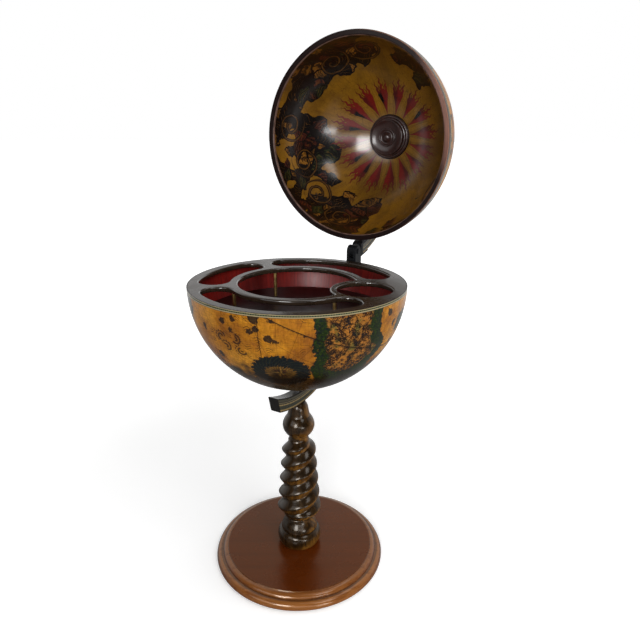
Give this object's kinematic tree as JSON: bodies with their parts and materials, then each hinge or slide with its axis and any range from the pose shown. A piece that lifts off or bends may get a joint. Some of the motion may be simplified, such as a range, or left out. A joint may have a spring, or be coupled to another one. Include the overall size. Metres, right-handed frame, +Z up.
{
  "type": "tabletop globe bar",
  "caption": "Tabletop globe on a rope-turned column; its upper half swings open on a curved arm to show a rack for a bottle and glasses.",
  "frame": {"origin": "middle of the face that the base rests on", "axes": "+Z up along the column, the hinge on the +Y side with its axis along X, so the open lid faces -Y"},
  "size_m": [0.33, 0.5485, 0.862],
  "materials": {
    "felt": "felt",
    "base_wood": "satin varnish",
    "column_wood": "gloss varnish",
    "arm_wood": "satin varnish with printed side bands",
    "steel": "plain",
    "black_iron": "black, satin",
    "printed_globe": "printed paper under gloss varnish, red inside the bowl",
    "rack_brown": "gloss",
    "floor_brown": "gloss",
    "brass": "dull",
    "boss_wood": "satin varnish"
  },
  "bodies": {
    "stand": {"base_felt": "felt", "base_disc": "base_wood", "column": "column_wood", "tie_rod": "steel", "base_washer": "steel", "base_nut": "steel", "lower_arm": "arm_wood", "bowl_arm_washer": "steel", "bowl_arm_nut": "steel", "bowl_thrust_washer": "brass", "bowl_keeper_washer": "steel", "bowl_lock_nut": "steel", "lower_hinge_bracket": "black_iron", "lower_bracket_rivets": "black_iron", "hinge_pin": "black_iron", "hinge_pin_cap": "black_iron"},
    "bowl": {"bowl_shell": "printed_globe", "rack_top": "rack_brown", "rack_floor": "floor_brown", "rack_rods": "brass", "rack_rod_screws": "steel", "bowl_hub": "brass", "bowl_hub_ring": "steel", "bowl_hub_screws": "steel"},
    "swing_arm": {"upper_arm": "arm_wood", "upper_hinge_bracket": "black_iron", "upper_bracket_rivets": "black_iron", "pole_stud": "steel", "pole_cap_nut": "brass", "pole_washer": "brass", "lid_arm_nut": "steel", "lid_arm_washer": "steel", "lid_thrust_washer": "brass", "lid_keeper_washer": "steel", "lid_lock_nut": "steel"},
    "lid": {"lid_shell": "printed_globe", "lid_rim_ring": "rack_brown", "lid_boss": "boss_wood", "lid_hub": "brass", "lid_hub_ring": "steel", "lid_hub_screws": "steel"}
  },
  "joints": [
    {"name": "bowl_spin", "type": "hinge", "parent": "stand", "child": "bowl", "pos_m": [0, 0, 0.4964], "axis": [0, 0, 1], "continuous": true},
    {"name": "lid_hinge", "type": "hinge", "parent": "stand", "child": "swing_arm", "pos_m": [0, 0.1873, 0.5101], "axis": [1, 0, 0], "range_deg": [0, 88.7]},
    {"name": "lid_spin", "type": "hinge", "parent": "swing_arm", "child": "lid", "pos_m": [0, 0.16935, 0.69704], "axis": [0, 0.9997, 0.0227], "continuous": true}
  ]
}
